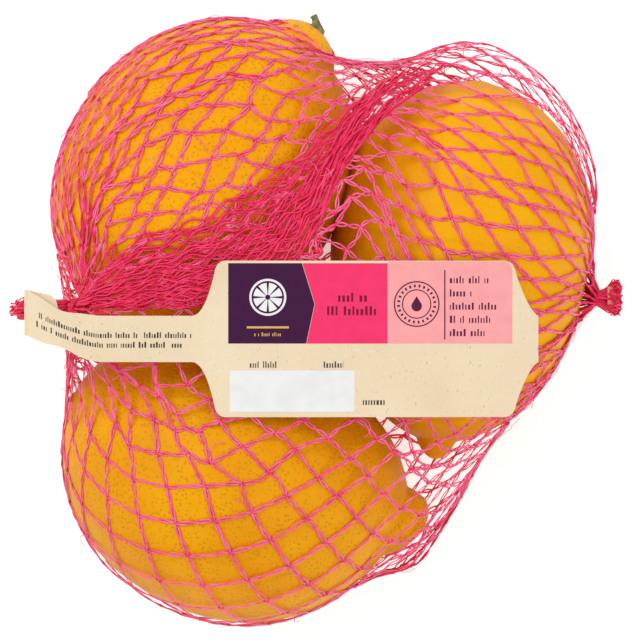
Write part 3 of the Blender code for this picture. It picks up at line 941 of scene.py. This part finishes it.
def drop(centre, radius):
    """A plain drop of juice, with its point at the top."""
    points = [(centre[0], centre[1] + 1.9 * radius)]
    for k in range(17):
        turn = math.radians(150.0 + 240.0 * k / 16)
        points.append((centre[0] + radius * math.cos(turn), centre[1] + radius * math.sin(turn)))
    return points


def coat(name, looks):
    """Gives a CAD node its material."""
    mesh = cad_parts[name].data
    mesh.materials.clear()
    mesh.materials.append(looks)


def build_label():
    """The label's CAD node is right; it takes the paper and carries plates of ink."""
    coat("label", kraft_paper())
    rng = np.random.default_rng(5)
    block_top = 13.5 * MM
    block_low = -5.6 * MM
    chevron = [
        (-21.8 * MM, block_low),
        (-3.3 * MM, block_low),
        (-1.3 * MM, 3.8 * MM),
        (-4.3 * MM, block_top),
        (-21.8 * MM, block_top),
    ]
    printed_plates("print_aubergine", [chevron], printed("ink_aubergine", (0.052, 0.006, 0.05)))
    hot = [
        (-3.2 * MM, block_low),
        (16.1 * MM, block_low),
        (16.1 * MM, block_top),
        (-4.2 * MM, block_top),
        (-1.2 * MM, 3.8 * MM),
    ]
    printed_plates("print_hot_pink", [hot], printed("ink_hot_pink", (0.93, 0.038, 0.155)))
    light = [
        (16.2 * MM, block_low),
        (45.8 * MM, block_low),
        (45.8 * MM, 12.0 * MM),
        (45.2 * MM, 13.4 * MM),
        (44.0 * MM, 13.95 * MM),
        (16.2 * MM, 13.95 * MM),
    ]
    printed_plates("print_light_pink", [light], printed("ink_light_pink", (0.97, 0.38, 0.385)))
    white = [rectangle(-21.5 * MM, 8.2 * MM, -21.8 * MM, -12.0 * MM)]
    printed_plates("print_white", white, printed("ink_white", (0.85, 0.85, 0.84)))
    marks = citrus_wheel((-12.4 * MM, 5.4 * MM), 4.4 * MM)
    top_print("print_emblem_white", marks, printed("ink_emblem_white", (0.9, 0.88, 0.88)))
    gold = [rectangle(-17.4 * MM, -7.4 * MM, -2.0 * MM, -1.5 * MM)]
    gold += ticks(-15.6 * MM, -9.2 * MM, -3.4 * MM, 0.9 * MM, rng)
    top_print("print_gold", gold, printed("ink_gold", (0.72, 0.45, 0.12)))
    crimson = ticks(4.3 * MM, 11.2 * MM, 5.4 * MM, 2.1 * MM, rng)
    crimson += ticks(1.7 * MM, 13.6 * MM, 2.2 * MM, 2.1 * MM, rng)
    top_print("print_crimson", crimson, printed("ink_crimson", (0.20, 0.008, 0.035)))
    plum = ring((23.0 * MM, 3.8 * MM), 5.15 * MM, 5.45 * MM)
    plum += ring((23.0 * MM, 3.8 * MM), 3.25 * MM, 3.5 * MM)
    plum.append(drop((23.0 * MM, 3.3 * MM), 1.25 * MM))
    for k in range(24):
        plum.append(ring_sector((23.0 * MM, 3.8 * MM), 4.0 * MM, 4.65 * MM, 15 * k + 3, 15 * k + 9, 1))
    plum.append(rectangle(29.55 * MM, 29.85 * MM, -4.6 * MM, 11.9 * MM))
    for k, length in enumerate((9.3, 5.2, 11.4, 9.9, 8.6)):
        middle = (9.6 - 3.15 * k) * MM
        plum += ticks(30.9 * MM, (30.9 + length) * MM, middle, 1.7 * MM, rng)
    top_print("print_plum", plum, printed("ink_plum", (0.10, 0.012, 0.05)))
    grey = ticks(-17.4 * MM, -10.4 * MM, -10.6 * MM, 1.5 * MM, rng)
    grey += ticks(0.9 * MM, 5.5 * MM, -10.6 * MM, 1.5 * MM, rng)
    grey += ticks(10.2 * MM, 15.6 * MM, -19.4 * MM, 1.6 * MM, rng)
    for left, right, offset in ((-68.0, -30.6, 0.9), (-68.0, -32.0, -1.4)):
        grey += ticks(left * MM, right * MM, offset * MM, 1.35 * MM, rng, slope=label_middle)
    top_print("print_grey", grey, printed("ink_grey", (0.065, 0.045, 0.035)))


def top_print(name, outlines, material):
    """Print that lies over another field of ink."""
    made = printed_plates(name, outlines, material)
    made.location.z = 0.02 * MM
    return made


# ---------------------------------------------------------------- the stage


def build_stage():
    bpy.ops.mesh.primitive_plane_add(size=6.0)
    floor = bpy.context.object
    floor.name = "floor"
    floor.data.materials.append(white_floor())
    world = bpy.data.worlds.new("soft_white")
    bpy.context.scene.world = world
    world.use_nodes = True
    world.node_tree.nodes["Background"].inputs["Color"].default_value = (1.0, 1.0, 1.0, 1.0)
    world.node_tree.nodes["Background"].inputs["Strength"].default_value = 0.62
    for name, place, size, power in (
        ("key", (-0.7, 0.6, 1.1), 0.9, 8.0),
        ("fill", (0.8, -0.5, 1.0), 1.0, 4.5),
    ):
        light = bpy.data.lights.new(name, "AREA")
        light.size = size
        light.energy = power
        lamp = bpy.data.objects.new(name, light)
        lamp.location = place
        lamp.rotation_euler = (Vector((0.0, 0.0, 0.03)) - Vector(place)).to_track_quat("-Z", "Y").to_euler()
        bpy.context.scene.collection.objects.link(lamp)


def build_camera():
    camera = bpy.data.cameras.new("camera")
    camera.sensor_width = SENSOR
    camera.lens = SENSOR * (CAMERA_HEIGHT - PICTURE_HEIGHT_LEVEL) / PICTURE_WIDTH
    camera.clip_end = 20.0
    made = bpy.data.objects.new("camera", camera)
    made.location = (0.0, 0.0, CAMERA_HEIGHT)
    bpy.context.scene.collection.objects.link(made)
    bpy.context.scene.camera = made


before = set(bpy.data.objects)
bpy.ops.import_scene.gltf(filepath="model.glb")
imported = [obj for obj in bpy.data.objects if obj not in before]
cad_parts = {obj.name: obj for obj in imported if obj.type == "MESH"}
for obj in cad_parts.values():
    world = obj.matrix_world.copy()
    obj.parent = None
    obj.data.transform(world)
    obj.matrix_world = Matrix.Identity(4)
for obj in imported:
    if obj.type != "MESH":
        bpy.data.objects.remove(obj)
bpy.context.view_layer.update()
bpy.context.scene.view_settings.view_transform = "Standard"
build_camera()
build_stage()
for lemon in LEMONS:
    build_fruit(lemon)
build_gathers(build_net(skin_tree()))
build_label()
build_stem()
coat("weld", weld_plastic())
